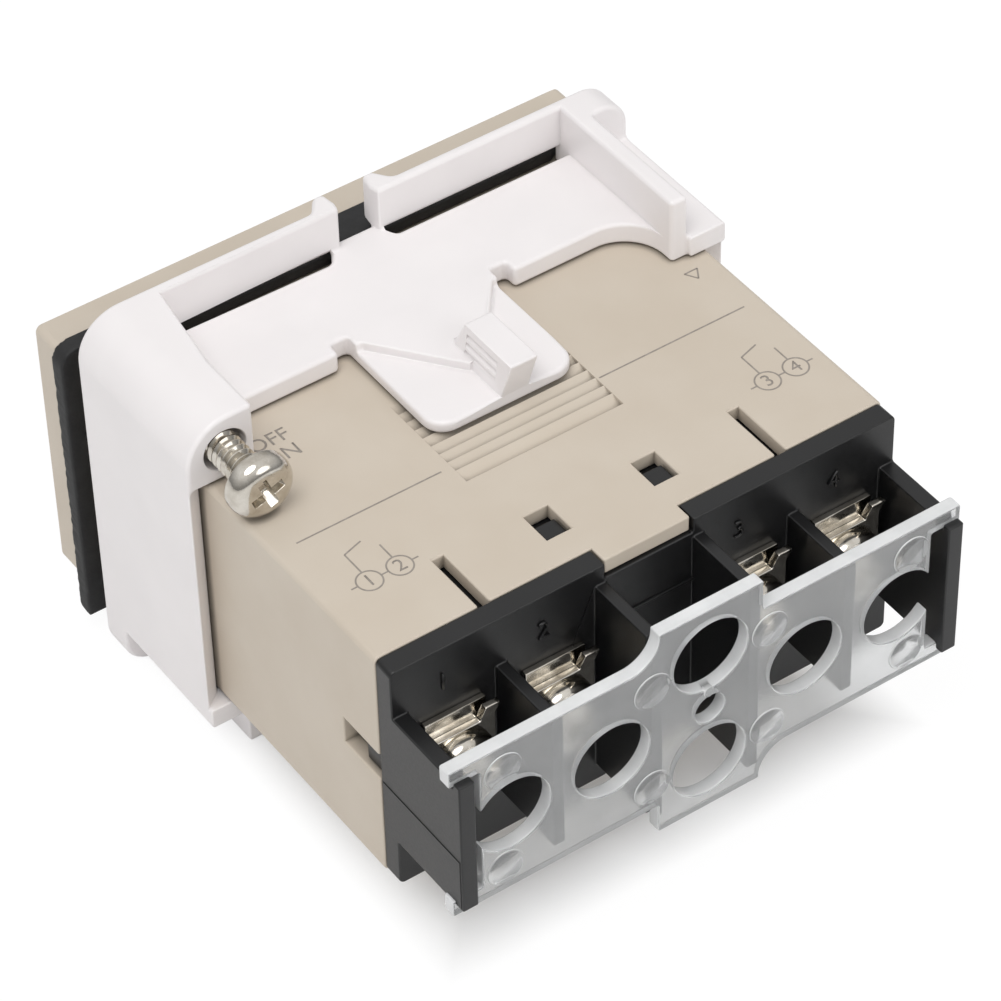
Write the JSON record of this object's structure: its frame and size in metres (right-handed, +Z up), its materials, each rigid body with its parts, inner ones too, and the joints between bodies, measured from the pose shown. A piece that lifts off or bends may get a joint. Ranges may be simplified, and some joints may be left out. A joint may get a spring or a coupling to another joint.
{
  "type": "panel counter",
  "caption": "Small self-powered totaliser for a panel cut-out: boxy case with bezel and reset key, clip-on clamp bracket with screws, and a covered screw terminal block at the rear.",
  "frame": {"origin": "centre of the bezel's rear face, in the plane of the panel's front", "axes": "+Y along the body from the bezel to the terminals, +Z up, the display faces -Y"},
  "size_m": [0.0488, 0.0533, 0.0338],
  "materials": {
    "case_plastic": "warm beige moulding, fine satin",
    "bracket_plastic": "white moulding, satin",
    "black_plastic": "black moulding, satin",
    "white_plastic": "off-white moulding",
    "key_plastic": "grey moulding",
    "cover_plastic": "clear moulding, slightly frosted",
    "lens_plastic": "clear window",
    "display_glass": "reflective display glass",
    "gasket_rubber": "black rubber",
    "elastomer": "silicone contact strip",
    "plated_steel": "nickel plated",
    "board_laminate": "green board",
    "ceramic": "ceramic chip parts",
    "cell_jacket": "blue jacket on a steel can"
  },
  "bodies": {
    "housing": {"case": "case_plastic", "front_lens": "lens_plastic", "display_holder": "white_plastic", "lcd_panel": "display_glass", "contact_strips": "elastomer", "front_board": "board_laminate", "counter_chip": "black_plastic", "crystal": "plated_steel", "chip_components": "ceramic", "reset_switch": "black_plastic", "main_board": "board_laminate", "board_header": "black_plastic", "battery": "cell_jacket", "battery_tabs": "plated_steel", "key_switch_body": "black_plastic", "speed_switch_body": "black_plastic", "terminal_block": "black_plastic", "terminal_plates": "plated_steel", "clamp_washers": "plated_steel", "terminal_screws": "plated_steel", "terminal_cover": "cover_plastic", "gasket": "gasket_rubber"},
    "reset_key": {"reset_button": "key_plastic", "switch_plunger": "black_plastic"},
    "bracket": {"mounting_bracket": "bracket_plastic"},
    "upper_screw": {"upper_clamp_screw": "plated_steel"},
    "lower_screw": {"lower_clamp_screw": "plated_steel"},
    "key_knob": {"key_switch_knob": "white_plastic"},
    "speed_knob": {"speed_switch_knob": "white_plastic"}
  },
  "joints": [
    {"name": "reset_press", "type": "slide", "parent": "housing", "child": "reset_key", "axis": [0, 1, 0], "range_m": [0, 0.0005], "stiffness_N_per_m": 2000},
    {"name": "bracket_slide", "type": "slide", "parent": "housing", "child": "bracket", "axis": [0, 1, 0], "range_m": [0, 0.0045]},
    {"name": "upper_screw_drive", "type": "slide", "parent": "bracket", "child": "upper_screw", "axis": [0, -1, 0], "range_m": [0, 0.0035]},
    {"name": "lower_screw_drive", "type": "slide", "parent": "bracket", "child": "lower_screw", "axis": [0, -1, 0], "range_m": [0, 0.0035]},
    {"name": "key_lock_slide", "type": "slide", "parent": "housing", "child": "key_knob", "axis": [1, 0, 0], "range_m": [0, 0.002]},
    {"name": "speed_slide", "type": "slide", "parent": "housing", "child": "speed_knob", "axis": [1, 0, 0], "range_m": [0, 0.002]}
  ]
}
